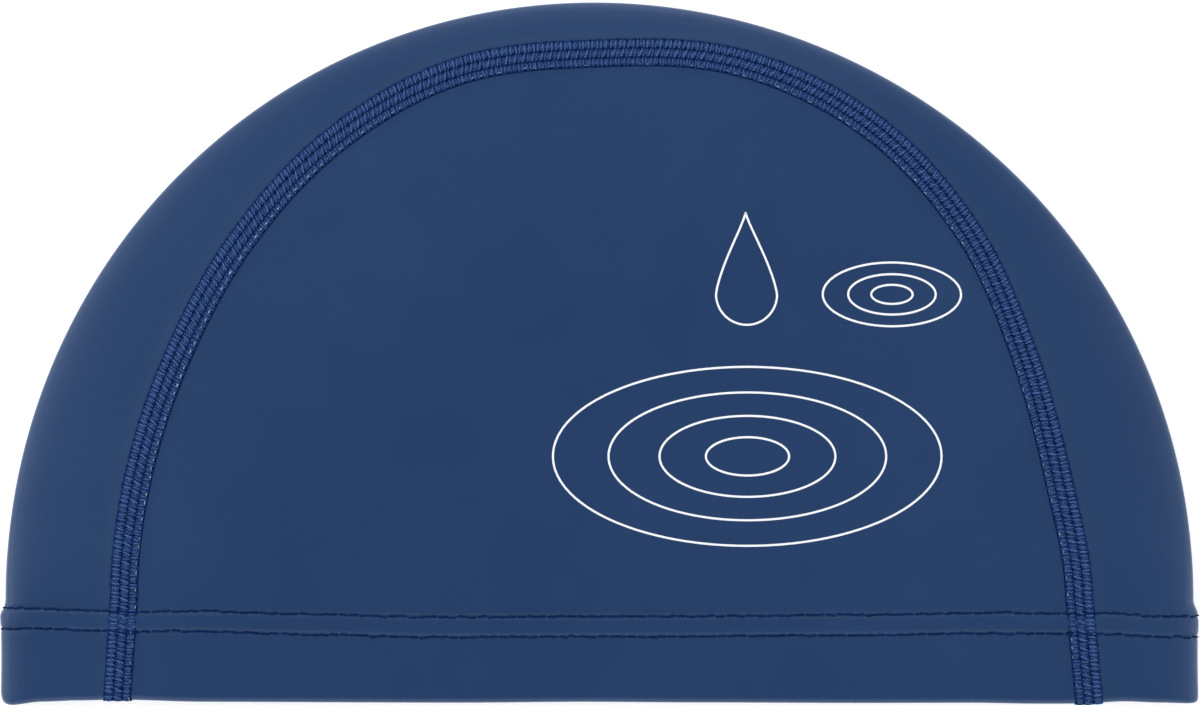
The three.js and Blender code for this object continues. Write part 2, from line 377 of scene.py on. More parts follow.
# %% The mouth's wave and the hem's stitch rows
MILLIMETRE = 0.001
WAVE = {
    "x": [-128, -121, -113, -104, -86, -30, -3, 22, 60, 80, 96, 105, 113.5, 122, 128],
    "rise": [-0.6, 0.2, 0.5, 0.7, 0.3, 0.2, 0.4, 0.25, 0.1, 0.1, -0.15, -0.15, 0.3, 0, -0.2],
}
ROW_X = [-0.126, -0.100, -0.087, -0.065, -0.035, 0.010, 0.057, 0.085, 0.109, 0.122]
ROW_HEIGHT = [0.0205, 0.0198, 0.0200, 0.0194, 0.0188, 0.0189, 0.0192, 0.0196, 0.0194, 0.0187]
ROW_GAUGE = 0.0044
GROOVE_DEPTH = 0.0002
GROOVE_HALF_WIDTH = 0.0005
HEM_PILLOW = 0.00012


def eased(x, xs, values):
    """A smooth curve through a table's values, level at each of them."""
    i = min(max(int(np.searchsorted(xs, x)), 1), len(xs) - 1)
    return mix(values[i - 1], values[i], smooth(xs[i - 1], xs[i], x))


def hem_row(row, x):
    """Height above the mouth of stitch row 0, the upper one, or row 1."""
    return eased(x, ROW_X, ROW_HEIGHT) - row * ROW_GAUGE


def hem_relief(x, y):
    """How far the stitches pull the outer cloth in, or less than 0 where it swells out."""
    grooves = sum(math.exp(-(((y - hem_row(row, x)) / GROOVE_HALF_WIDTH) ** 2)) for row in (0, 1))
    between = (y - hem_row(1, x)) / ROW_GAUGE
    pillow = math.sin(math.pi * between) if 0 < between < 1 else 0
    return GROOVE_DEPTH * grooves - HEM_PILLOW * pillow


def spot(place, depth, z):
    x = place.fold[0] + place.inward[0] * depth
    y = place.fold[1] + place.inward[1] * depth
    rise = eased(x / MILLIMETRE, WAVE["x"], WAVE["rise"]) * MILLIMETRE
    wave = rise * (1 - smooth(0, HEM_DEPTH, y))
    return (x + CROWN_LEAN * (y / CAP_LENGTH) ** LEAN_POWER, MOUTH_Y + y + wave, z)


print("the mouth's edge waves by", round(max(WAVE["rise"]) - min(WAVE["rise"]), 2), "mm")

# %% Points on the three parts of the surface
def fold_radius(y):
    return mix(HEM_FOLD, THIN_FOLD, smooth(HEM_DEPTH, HEM_DEPTH + FOLD_BLEND, y))


def top_profile(depth, reach, y):
    """Height of the upper face, its slope, where it leaves the fold and the fold's angle there."""
    radius = fold_radius(y)
    height = mix(MOUTH_HEIGHT, BELLY_HEIGHT, smooth(0, BELLY_DISTANCE, y))
    rise = height - SEAM_PROUD - 2 * radius - SHOULDER_RISE
    edge_angle = math.atan(RISE_POWER * rise / (reach - radius) + SHOULDER_RISE / SHOULDER_LENGTH)
    start = radius * (1 - math.sin(edge_angle))
    left = 1 - min(max((depth - start) / (reach - start), 0), 1)
    shoulder = math.exp(-max(depth - start, 0) / SHOULDER_LENGTH)
    z = SEAM_PROUD + radius * (1 + math.cos(edge_angle)) + rise * (1 - left**RISE_POWER)
    z += SHOULDER_RISE * (1 - shoulder)
    slope = rise * RISE_POWER * left ** (RISE_POWER - 1) / (reach - start)
    slope += shoulder * SHOULDER_RISE / SHOULDER_LENGTH
    return z, math.atan(slope), start, edge_angle


def upper_point(place, depth, offset):
    y = place.fold[1] + place.inward[1] * depth
    z, slope, _, _ = top_profile(depth, place.reach, y)
    return spot(place, depth + offset * math.sin(slope), z - offset * math.cos(slope))


def fold_point(place, share, offset):
    radius = fold_radius(place.fold[1])
    edge_angle = top_profile(0, place.reach, place.fold[1])[3]
    turn = mix(edge_angle, math.pi, share)
    arm = radius - offset
    return spot(place, radius - arm * math.sin(turn), SEAM_PROUD + radius + arm * math.cos(turn))


def under_point(place, depth, offset):
    y = place.fold[1] + place.inward[1] * depth
    by_seam = SEAM_PROUD * (1 - smooth(0, LIFT_FADE, depth - place.seam - SEAM_HALF_WIDTH))
    by_hem = HEM_STITCH_PROUD * (1 - smooth(HEM_DEPTH, HEM_DEPTH + LIFT_FADE, y))
    return spot(place, depth, max(by_seam, by_hem) + offset)


def inside(point_on, x, y, offset):
    """A point on the upper face or the underside, over a point of the plan."""
    place = place_through(x, y)
    depth = place.reach - math.hypot(x, max(0, y - DOME_BASE))
    return point_on(place, depth, offset)


print("the belly is", round(inside(upper_point, 0, 0.07, 0)[2], 4), "m high")

# %% [markdown]
# At the mouth the cloth turns inwards. This function follows the cloth along its own length:
# from the raw edge inside, down to the mouth, round the turn and up the outside.

# %% Follow the cloth through the hem
INNER_RUN = HEM_DEPTH - TURN_RADIUS
TURN_RUN = math.pi * TURN_RADIUS
OUTER_RUN = DOME_BASE - TURN_RADIUS
HEM_RUN = INNER_RUN + TURN_RUN + OUTER_RUN


def hem_layer(run, lift=0.0):
    """Height above the mouth and offset into the cap, for a run along the cloth."""
    if run <= INNER_RUN:
        return HEM_DEPTH - run, 2 * TURN_RADIUS + lift
    turn = (run - INNER_RUN) / TURN_RADIUS
    if turn >= math.pi:
        return run - INNER_RUN - TURN_RUN + TURN_RADIUS, -lift
    arm = TURN_RADIUS + lift
    return TURN_RADIUS - arm * math.sin(turn), TURN_RADIUS + arm * math.cos(turn)


def outer_layer(run):
    return run >= INNER_RUN + TURN_RUN


print("the cloth runs", round(HEM_RUN, 4), "m through the hem")

# %% [markdown]
# ## Cloth pieces
# A piece of cloth is drawn as its coated face only: one or two grids of points, joined where
# they meet. Solidify then gives it its thickness on the inner side and paints the back and the
# cut edges with the second material, because coated cloth has a knitted back.

# %% Turn grids of points into cloth
JOIN_DISTANCE = 0.000002
SHARP_ANGLE = math.radians(50)


def cloth_piece(name, grids, turn_over):
    """The coated face of a piece of cloth; turn_over is for grids drawn facing into the cap."""
    shape = bmesh.new()
    for grid in grids:
        points = [[shape.verts.new(point) for point in row] for row in grid]
        for low, high in zip(points, points[1:]):
            for i in range(len(low) - 1):
                shape.faces.new((low[i], low[i + 1], high[i + 1], high[i]))
    bmesh.ops.remove_doubles(shape, verts=shape.verts, dist=JOIN_DISTANCE)
    if turn_over:
        bmesh.ops.reverse_faces(shape, faces=shape.faces)
    mesh = bpy.data.meshes.new(name)
    shape.to_mesh(mesh)
    shape.free()
    piece = bpy.data.objects.new(name, mesh)
    scene.collection.objects.link(piece)
    thickness = piece.modifiers.new("thickness", "SOLIDIFY")
    thickness.thickness = CLOTH
    thickness.offset = -1
    thickness.use_even_offset = True
    thickness.material_offset = 1
    thickness.material_offset_rim = 1
    return piece


def finish_cloth(piece, face_finish, back_finish):
    """Gives the piece its two materials, applies the thickness and smooths the shading."""
    piece.data.materials.append(face_finish.material)
    piece.data.materials.append(back_finish.material)
    bpy.context.view_layer.objects.active = piece
    bpy.ops.object.modifier_apply(modifier="thickness")
    piece.data.shade_smooth()
    piece.data.set_sharp_from_angle(angle=SHARP_ANGLE)
    print(piece.name, "has", len(piece.data.polygons), "faces")


# %% [markdown]
# ### Side panels
# A side panel is a half disc with the hem below it. The half disc is a fan of rays from the
# dome's centre, crossed by rings that are closest together beside the seam, where the cloth
# climbs a little. The hem is a grid whose columns meet the ends of the fan's rings.

# %% Build the side panels
CUT_GAP = 0.0001
JOINT = 0.0025
PANEL_RAYS = 180
PANEL_RINGS = 58
EDGE_CROWDING = 1.7
SEAM_RAISE = 0.00008
RAISE_FADE = 0.0011
SEAM_EDGE = 0.0031
INNER_ROWS = 6
TURN_ROWS = 8
OUTER_ROWS = 72


def hem_runs():
    """Runs along the cloth, from the raw edge to the dome's base."""
    inner = np.linspace(0, INNER_RUN, INNER_ROWS, endpoint=False)
    turn = np.linspace(INNER_RUN, INNER_RUN + TURN_RUN, TURN_ROWS, endpoint=False)
    outer = np.linspace(INNER_RUN + TURN_RUN, HEM_RUN, OUTER_ROWS)
    return np.concatenate([inner, turn, outer])


def raised(distance):
    """How far the seam's double cloth lifts the face, at a distance from the seam's edge."""
    return SEAM_RAISE * math.exp(-((max(distance, 0) / RAISE_FADE) ** 2))


def ring_share(ring):
    """Rings crowd towards the cut edge, where the cloth climbs onto the seam."""
    return 1 - (1 - ring / PANEL_RINGS) ** EDGE_CROWDING


def side_panel(name, point_on, turn_over):
    cut = JOINT + CUT_GAP

    def hem_point(share, run):
        y, offset = hem_layer(run)
        side = -1 if share < 0 else 1
        x = share * (hem_seam_reach(side, y) - cut)
        if outer_layer(run):
            edge = hem_seam_reach(side, y) - SEAM_EDGE - abs(x)
            offset += hem_relief(x, y) - raised(edge)
        return inside(point_on, x, y, offset)

    def dome_point(angle, share):
        place = dome_place(angle)
        radius = share * (place.reach - place.seam - cut)
        edge = place.reach - place.seam - SEAM_EDGE - radius
        x = radius * math.cos(angle)
        y = DOME_BASE + radius * math.sin(angle)
        relief = hem_relief(x, y) if y < DOME_BASE + FOLD_BLEND else 0
        return inside(point_on, x, y, relief - raised(edge))

    rings = [ring_share(ring) for ring in range(PANEL_RINGS + 1)]
    shares = [-ring for ring in reversed(rings)] + rings[1:]
    hem = [[hem_point(share, run) for share in shares] for run in hem_runs()]
    angles = np.linspace(math.pi, 0, PANEL_RAYS + 1)
    fan = [[dome_point(angle, ring) for angle in angles] for ring in rings]
    return cloth_piece(name, [hem, fan], turn_over)


upper_panel = side_panel("side_panel_upper_cloth", upper_point, turn_over=False)
lower_panel = side_panel("side_panel_lower_cloth", under_point, turn_over=True)

# %% [markdown]
# ### The crown strip
# The strip is one long grid. Its rows run through the left hem, over the crown and through the
# right hem. Each row starts at the upper seam, crosses the upper face, rounds the fold and
# comes back below to the lower seam.

# %% Build the crown strip
STRIP_RAYS = 260
UNDER_THREAD_COLUMNS = 4
STRIP_COLUMNS = 18
FOLD_COLUMNS = 14
ROW_EDGE = 0.0026


def strip_depths(place, end):
    """Depths from the strip's cut edge, under the threads, to the fold's end, crowded at the seam."""
    clear = place.seam - ROW_EDGE
    under = np.linspace(place.seam + JOINT, clear, UNDER_THREAD_COLUMNS, endpoint=False)
    shares = (np.arange(STRIP_COLUMNS + 1) / STRIP_COLUMNS) ** EDGE_CROWDING
    return np.concatenate([under, mix(clear, end, shares)])


def strip_row(place, offset, on_outside):
    """The row of points across the strip at one place."""
    y = place.fold[1]

    def pull(depth):
        if not on_outside:
            return 0
        x = place.fold[0] + place.inward[0] * depth
        stitches = hem_relief(x, y) if y < DOME_BASE else 0
        return stitches - raised(place.seam - SEAM_EDGE - depth)

    upper = strip_depths(place, top_profile(0, place.reach, y)[2])
    under = strip_depths(place, fold_radius(y))
    turns = np.arange(1, FOLD_COLUMNS) / FOLD_COLUMNS
    row = [upper_point(place, depth, offset + pull(depth)) for depth in upper]
    row += [fold_point(place, turn, offset + pull(0)) for turn in turns]
    row += [under_point(place, depth, offset + pull(depth)) for depth in reversed(under)]
    return row


def strip_hem(side):
    rows = []
    for run in hem_runs():
        y, offset = hem_layer(run)
        rows.append(strip_row(hem_place(side, y), offset, outer_layer(run)))
    return rows


dome_angles = np.linspace(math.pi, 0, STRIP_RAYS + 1)[1:-1]
strip_rows = strip_hem(-1)
strip_rows += [strip_row(dome_place(angle), 0, True) for angle in dome_angles]
strip_rows += reversed(strip_hem(1))
crown_strip = cloth_piece("crown_strip_cloth", [strip_rows], turn_over=True)
print("the strip has", len(strip_rows), "rows")

# %% [markdown]
# ### Coated face and knitted back
# The face is a smooth polyurethane skin: navy blue, almost even in colour, with a satin shine
# and a grain too fine to see from afar. The back is plain weft knit. Two Wave textures at right
# angles, with a little noise to bend them, stand for its stitches.

# %% Finish the cloth
COAT_GRAIN = 0.00022
KNIT_STITCH = 0.0009
# A Wave texture of scale 1 repeats after this many metres.
WAVE_LENGTH = 0.314

coat = Finish(
    "coated_face",
    roughness=0.4,
    Specular_IOR_Level=0.45,
    Specular_Tint=(0.64, 0.8, 1, 1),
    Sheen_Weight=0.22,
    Sheen_Roughness=0.45,
    Sheen_Tint=(0.5, 0.65, 1, 1),
)
coat.colour(coat.ramp(coat.noise(0.05, detail=3), [(0.3, srgb(24, 51, 91)), (0.7, srgb(28, 55, 95))]))
coat.roughness(coat.spread(coat.noise(0.012, detail=4), 0.36, 0.44))
coat.bump(coat.noise(COAT_GRAIN, detail=3), 0.000006)

knit = Finish("knitted_back", roughness=0.9, Sheen_Weight=0.3)
knit_tints = [(0.3, srgb(84, 98, 132)), (0.7, srgb(112, 126, 158))]
knit.colour(knit.ramp(knit.noise(0.001, detail=4), knit_tints))


def ribs(finish, direction, width):
    """Even ribs of this width, in metres, across one direction."""
    wave = finish.nodes.new("ShaderNodeTexWave")
    wave.bands_direction = direction
    wave.inputs["Scale"].default_value = WAVE_LENGTH / width
    wave.inputs["Distortion"].default_value = 1.5
    wave.inputs["Detail Scale"].default_value = 2
    finish.link(finish.place, wave.inputs["Vector"])
    return wave.outputs["Fac"]


loops_of_knit = knit.combine("MULTIPLY", ribs(knit, "X", KNIT_STITCH), ribs(knit, "Y", KNIT_STITCH))
knit.bump(loops_of_knit, 0.0001)

for piece in (upper_panel, lower_panel, crown_strip):
    finish_cloth(piece, coat, knit)

# %% [markdown]
# ## Flatlock seams
# Each panel is joined to the strip by a flatlock seam: four rows of needle thread, and a cover
# thread that crosses between them, two strands to a stitch. Real strands are short arcs that
# dive into the cloth at both ends, and that is how they are modelled: every strand is a tube of
# its own, flattened as soft thread is. First comes the bed: a grid of points and directions
# along the seam, which any strand can then be laid on.

# %% Lay out the seam's bed
BED_HALF_WIDTH = 0.0034
BED_COLUMNS = 9
BED_HEM_ROWS = 80
BED_RAYS = 400
NUDGE = 0.0001


class Bed:
    """A long grid of points on the surface, with the direction out of the cloth at each."""

    def __init__(self, sections):
        self.points = np.array([[points for points, _ in row] for row in sections])
        lifted = np.array([[above for _, above in row] for row in sections])
        out = lifted - self.points
        self.out = out / np.linalg.norm(out, axis=2, keepdims=True)
        middle = self.points[:, self.points.shape[1] // 2]
        steps = np.linalg.norm(np.diff(middle, axis=0), axis=1)
        self.along = np.concatenate([[0], np.cumsum(steps)])
        self.length = float(self.along[-1])

    def at(self, along, across, lift):
        """Points and outward directions: along in metres, across from 0 to 1 over the grid."""
        row = np.clip(np.searchsorted(self.along, along) - 1, 0, len(self.along) - 2)
        down = (along - self.along[row]) / (self.along[row + 1] - self.along[row])
        last = self.points.shape[1] - 1
        column = np.clip((across * last).astype(int), 0, last - 1)
        over = across * last - column

        def blend(grid):
            right, below = over[..., None], down[..., None]
            near = grid[row, column] * (1 - right) + grid[row, column + 1] * right
            far = grid[row + 1, column] * (1 - right) + grid[row + 1, column + 1] * right
            return near * (1 - below) + far * below

        out = blend(self.out)
        out /= np.linalg.norm(out, axis=-1, keepdims=True)
        return blend(self.points) + out * lift[..., None], out


def seam_bed(point_on):
    across = np.linspace(-BED_HALF_WIDTH, BED_HALF_WIDTH, BED_COLUMNS)

    def hem_section(side, run):
        pairs = []
        for offset_in in across:
            pair = []
            for lift in (0, NUDGE):
                y, offset = hem_layer(run, lift)
                place = hem_place(side, y)
                pair.append(point_on(place, place.seam + offset_in, offset))
            pairs.append(pair)
        return pairs

    def dome_section(angle):
        place = dome_place(angle)
        return [[point_on(place, place.seam + a, -lift) for lift in (0, NUDGE)] for a in across]

    runs = np.linspace(0, HEM_RUN, BED_HEM_ROWS)
    angles = np.linspace(math.pi, 0, BED_RAYS)[1:-1]
    sections = [hem_section(-1, run) for run in runs]
    sections += [dome_section(angle) for angle in angles]
    sections += [hem_section(1, run) for run in reversed(runs)]
    return Bed(sections)


upper_bed = seam_bed(upper_point)
lower_bed = seam_bed(under_point)
print("the seams are", round(upper_bed.length, 4), "and", round(lower_bed.length, 4), "m long")

# %% [markdown]
# A strand needs a centre line, the direction out of the cloth, and a half width and height. One
# helper makes all the strands of a piece at once with arrays, because a seam has more than a
# thousand of them. Each point keeps a tone: the strand's own tone, darkened with painted shade
# where the strand dives into the cloth. Each face gets a UV place along and round the strand, on
# which the material later winds the yarn's twist.

# %% Make many strands at once
STRAND_SIDES = 6
END_TAPER = 0.7


def tube_faces(count, rings):
    """Corner numbers and UV shares of the side faces and end caps of all strands."""
    strand, ring, corner = np.meshgrid(
        np.arange(count), np.arange(rings - 1), np.arange(STRAND_SIDES), indexing="ij"
    )

    def corner_of(next_ring, next_corner):
        first = (strand * rings + ring + next_ring) * STRAND_SIDES
        return first + (corner + next_corner) % STRAND_SIDES

    turns = [(0, 0), (1, 0), (1, 1), (0, 1)]
    sides = np.stack([corner_of(*turn) for turn in turns], -1).reshape(-1, 4)
    shares = [
        np.stack([(ring + along) / (rings - 1), (corner + around) / STRAND_SIDES], -1)
        for along, around in turns
    ]
    first = (np.arange(count) * rings * STRAND_SIDES)[:, None] + np.arange(STRAND_SIDES)
    last = first[:, ::-1] + (rings - 1) * STRAND_SIDES
    caps = np.concatenate([first, last])
    return sides, caps, np.stack(shares, -2).reshape(-1, 2)


def strands(name, centres, out, half_width, half_height, tones):
    """One piece of many flattened tubes; centres has a row of points for each of them."""
    count, rings, _ = centres.shape
    way = np.gradient(centres, axis=1)
    way /= np.linalg.norm(way, axis=-1, keepdims=True)
    side = np.cross(way, out)
    side /= np.linalg.norm(side, axis=-1, keepdims=True)
    up = np.cross(side, way)
    taper = np.ones(rings)
    taper[[0, -1]] = END_TAPER
    turns = np.arange(STRAND_SIDES) * 2 * math.pi / STRAND_SIDES
    wide = (half_width * taper)[None, :, None, None] * np.cos(turns)[None, None, :, None]
    high = (half_height * taper)[None, :, None, None] * np.sin(turns)[None, None, :, None]
    points = centres[:, :, None] + side[:, :, None] * wide + up[:, :, None] * high

    sides, caps, shares = tube_faces(count, rings)
    mesh = bpy.data.meshes.new(name)
    mesh.from_pydata(points.reshape(-1, 3).tolist(), [], sides.tolist() + caps.tolist())
    tone_and_shade = mesh.attributes.new("tone_and_shade", "FLOAT", "POINT")
    tone_and_shade.data.foreach_set("value", np.repeat(tones.reshape(-1), STRAND_SIDES))
    lengths = np.linalg.norm(np.diff(centres, axis=1), axis=-1).sum(1)
    wound = shares * np.stack([np.repeat(lengths, len(shares) // count), np.ones(len(shares))], -1)
    uv = mesh.uv_layers.new(name="strand")
    uv.data.foreach_set("uv", np.concatenate([wound.reshape(-1), np.zeros(caps.size * 2)]))
    mesh.shade_smooth()
    piece = bpy.data.objects.new(name, mesh)
    scene.collection.objects.link(piece)
    print(name, "has", count, "strands and", len(mesh.polygons), "faces")
    return piece


def arc(rings, low, high):
    """A share of the way along a strand, and its lift: low at both ends and high between."""
    share = np.linspace(0, 1, rings)
    return share, low + (high - low) * np.sin(math.pi * share) ** 0.5


def dive_shade(share, end_shade, power):
    """Painted shade along a strand: end_shade where it dives into the cloth, and 1 halfway."""
    return end_shade + (1 - end_shade) * np.sin(math.pi * share) ** power


print("a strand has", STRAND_SIDES, "sides")

# %% [markdown]
# The needle rows are 2 mm apart, and the innermost gap is a little narrower. Stitches are just
# under 2 mm long. The needles leave small holes in all four rows, and the holes get painted shade:
# a strand's tone falls close to a hole. Small random shifts, from a fixed seed, keep the seam from
# looking printed.

# %% Lay strands on a bed
STITCH = 0.00195
EDGE_MARGIN = 0.0002
NEEDLE_ROWS = [-0.0029, -0.0009, 0.0011, 0.0029]
# Painted shade in the needle holes: its half length and half width, and how dark it gets in each row.
HOLE_HALF_LENGTH = 0.00036
HOLE_HALF_WIDTH = 0.00021
HOLE_SHADE = [0.8, 1.0, 1.0, 0.9]
JITTER = 0.00008
THREAD_TONES = (0.75, 1)


def across_share(distance):
    return (distance + BED_HALF_WIDTH) / (2 * BED_HALF_WIDTH)


def stitch_count(bed):
    return int((bed.length - 2 * EDGE_MARGIN) / STITCH) - 1


def painted_hole_shade(along, across):
    """Painted shade in the needle holes: 1 away from them and near 0 in them."""
    phase = ((along - EDGE_MARGIN) / STITCH + 0.5) % 1 - 0.5
    shade = np.ones(along.shape)
    for row, darkness in zip(NEEDLE_ROWS, HOLE_SHADE):
        near = (phase * STITCH / HOLE_HALF_LENGTH) ** 2 + ((across - row) / HOLE_HALF_WIDTH) ** 2
        shade *= 1 - darkness * np.exp(-near)
    return shade


def lay(name, bed, along, across, lift, tone_and_shade, half_width, half_height):
    """Lays strands on a bed; along and across have a row for each strand."""
    along = np.clip(along, 0, bed.length)
    lifts = np.broadcast_to(lift + SEAM_RAISE, along.shape)
    centres, out = bed.at(along, across_share(across), lifts)
    # Each strand's tone takes the painted shade of the needle holes.
    return strands(name, centres, out, half_width, half_height, tone_and_shade * painted_hole_shade(along, across))


print("a seam has", stitch_count(upper_bed), "stitches")

# %% [markdown]
# Lowest of all lies a dark mat: the loops of thread that have sunk into the cloth, coloured almost
# black as painted shade. It only shows in the needle holes, so a closed band with a top and a
# bottom is enough.

# %% Put down the mat of loops
BED_BAND = (-0.0029, 0.0031)
BED_STEPS = 520
BED_LIFT = 0.00002
BED_SINK = 0.00008


def face_outwards(mesh):
    shape = bmesh.new()
    shape.from_mesh(mesh)
    bmesh.ops.recalc_face_normals(shape, faces=shape.faces)
    shape.to_mesh(mesh)
    shape.free()


def shaded_thread_bed(name, bed):
    """A closed band under the strands, from one end of the seam to the other."""
    along, across = np.meshgrid(
        np.linspace(EDGE_MARGIN, bed.length - EDGE_MARGIN, BED_STEPS),
        across_share(np.linspace(*BED_BAND, BED_COLUMNS)),
        indexing="ij",
    )
    top = bed.at(along, across, np.full(along.shape, SEAM_RAISE + BED_LIFT))[0]
    bottom = bed.at(along, across, np.full(along.shape, SEAM_RAISE - BED_SINK))[0]
    rings = np.concatenate([top, bottom[:, ::-1]], axis=1)
    corners = rings.shape[1]
    numbers = np.arange(BED_STEPS * corners).reshape(BED_STEPS, corners)
    here, there = numbers[:-1], numbers[1:]
    sides = np.stack([here, np.roll(here, -1, 1), np.roll(there, -1, 1), there], -1).reshape(-1, 4)
    ends = [numbers[0].tolist(), numbers[-1].tolist()]
    mesh = bpy.data.meshes.new(name)
    mesh.from_pydata(rings.reshape(-1, 3).tolist(), [], sides.tolist() + ends)
    face_outwards(mesh)
    piece = bpy.data.objects.new(name, mesh)
    scene.collection.objects.link(piece)
    print(name, "has", len(mesh.polygons), "faces")
    return piece


thread_beds = [
    shaded_thread_bed("seam_upper_bed_thread", upper_bed),
    shaded_thread_bed("seam_lower_bed_thread", lower_bed),
]

# %% [markdown]
# The cover thread lies on the mat in two layers: bright strands on top, and between them the
# deeper crossings of the same thread, lying lower and darkened by their low tones as painted
# shade. In the middle column one strand of each stitch slants. A layer is a short table. For each
# of the three columns it lists the strands of one stitch, each with the phase of its outer end,
# the phase of its inner end and its tone.

# %% Sew the cover thread
TOP_LAYER = {
    "half_width": 0.0002,
    "half_height": 0.00014,
    "dive": -0.00005,
    "lift": 0.00021,
    "rings": 7,
    "clearance": 0.0,
    "columns": [
        [(0.28, 0.27, 0.95), (0.78, 0.66, 0.9)],
        [(0.22, -0.16, 1.0), (0.52, 0.4, 0.65)],
        [(0.3, 0.3, 0.75), (0.72, 0.7, 0.75)],
    ],
}
# The deep layer's low tones are painted shade on the lower crossings.
DEEP_LAYER = {
    "half_width": 0.0004,
    "half_height": 0.00012,
    "dive": 0.0,
    "lift": 0.00006,
    "rings": 5,
    "clearance": 0.00016,
    "columns": [
        [(0.52, 0.47, 0.3), (0.03, -0.03, 0.55)],
        [(0.82, 0.66, 0.52), (0.36, 0.14, 0.26)],
        [(0.5, 0.5, 0.3), (0.02, 0.0, 0.5)],
    ],
}
# Painted shade where a cover strand dives into the cloth: its tone at the ends, and how it spreads.
COVER_DIVE_SHADE = 0.64
COVER_SHADE_POWER = 0.35


def cover_thread(name, bed, layer, seed):
    random = np.random.default_rng(seed)
    share, lift = arc(layer["rings"], layer["dive"], layer["lift"])
    starts = EDGE_MARGIN + np.arange(1, stitch_count(bed))[:, None] * STITCH
    along, across, tone_and_shade = [], [], []
    for column, stitch in enumerate(layer["columns"]):
        first = NEEDLE_ROWS[column] + layer["clearance"]
        last = NEEDLE_ROWS[column + 1] - layer["clearance"]
        for outer, inner, own_tone in stitch:
            shift = random.normal(0, JITTER, (len(starts), 2))
            ends = starts + np.array([outer, inner]) * STITCH + shift
            along.append(mix(ends[:, :1], ends[:, 1:], share[None]))
            across.append(np.broadcast_to(mix(first, last, share), along[-1].shape))
            tone_and_shade.append(own_tone * random.uniform(*THREAD_TONES, (len(starts), 1)) * np.ones(len(share)))
    along, across, tone_and_shade = (np.concatenate(parts) for parts in (along, across, tone_and_shade))
    tone_and_shade *= dive_shade(share, COVER_DIVE_SHADE, COVER_SHADE_POWER)
    return lay(name, bed, along, across, lift, tone_and_shade, layer["half_width"], layer["half_height"])


cover_threads = [
    cover_thread("seam_upper_cover_thread", upper_bed, TOP_LAYER, seed=11),
    cover_thread("seam_lower_cover_thread", lower_bed, TOP_LAYER, seed=12),
]
deep_threads = [
    cover_thread("seam_upper_deep_thread", upper_bed, DEEP_LAYER, seed=17),
    cover_thread("seam_lower_deep_thread", lower_bed, DEEP_LAYER, seed=18),
]

# %% [markdown]
# The needle threads run along the seam in four rows, one short strand to a stitch. Each strand
# stops short of its two holes, so that the holes stay open between the stitches and show their
# painted shade and the near-black mat.

# %% Sew the needle threads
NEEDLE_HALF_WIDTH = 0.00015
NEEDLE_HALF_HEIGHT = 0.0001
NEEDLE_LIFT = 0.00016
NEEDLE_DIVE = -0.00004
NEEDLE_RINGS = 6
NEEDLE_SPAN = (0.13, 0.87)
# Painted shade where a needle strand dives into the cloth.
NEEDLE_DIVE_SHADE = 0.35
NEEDLE_SHADE_POWER = 0.7


def needle_thread(name, bed, seed):
    random = np.random.default_rng(seed)
    share, lift = arc(NEEDLE_RINGS, NEEDLE_DIVE, NEEDLE_LIFT)
    starts = EDGE_MARGIN + np.arange(1, stitch_count(bed))[:, None] * STITCH
    along, across = [], []
    for row in NEEDLE_ROWS:
        shift = random.normal(0, JITTER / 2, (len(starts), 2))
        along.append(starts + shift[:, :1] + mix(*NEEDLE_SPAN, share)[None] * STITCH)
        across.append(row + shift[:, 1:] + np.zeros(NEEDLE_RINGS))
    along, across = np.concatenate(along), np.concatenate(across)
    own_tone = random.uniform(*THREAD_TONES, (len(along), 1))
    tone_and_shade = own_tone * dive_shade(share, NEEDLE_DIVE_SHADE, NEEDLE_SHADE_POWER)
    return lay(name, bed, along, across, lift, tone_and_shade, NEEDLE_HALF_WIDTH, NEEDLE_HALF_HEIGHT)


needle_threads = [
    needle_thread("seam_upper_needle_thread", upper_bed, seed=13),
    needle_thread("seam_lower_needle_thread", lower_bed, seed=14),
]

# %% [markdown]
# ### Frayed edge
# Along the innermost needle row the strip's cut edge pokes out between the threads. Its fibres
# are undyed, so they show as small pale flecks, about one to a stitch. Over the crown, where
# the seam bends most, they are fewer and lie deeper, so a short table gives their strength:
# how many show, and how much painted shade dims them.

# %% Add the frayed fibres
FLECK_HALF_LENGTHS = (0.0005, 0.0004)
FLECK_LENGTH_SPREAD = (0.5, 1.2)
FLECK_CHANCES = (0.5, 0.95)
FLECK_SHIFT = 0.06
FLECK_TONES = (0.15, 1)
FLECK_RADIUS = 0.00007
FLECK_LIFT = 0.00028
FLECKS = {
    "place": [0, 0.14, 0.2, 0.28, 0.34, 0.4, 0.5, 0.65, 1],
    "strength": [0.6, 0.75, 0.95, 0.9, 0.72, 0.45, 0.15, 0.55, 0.55],
    "row": [0.0026, 0.0026, 0.00235, 0.00195, 0.0022, 0.0023, 0.0025, 0.0025, 0.0026],
}
FIBRES = 3
FIBRE_RINGS = 5
FIBRE_SPREAD = 0.00007
FIBRE_LENGTH_SPREAD = (0.7, 1.1)


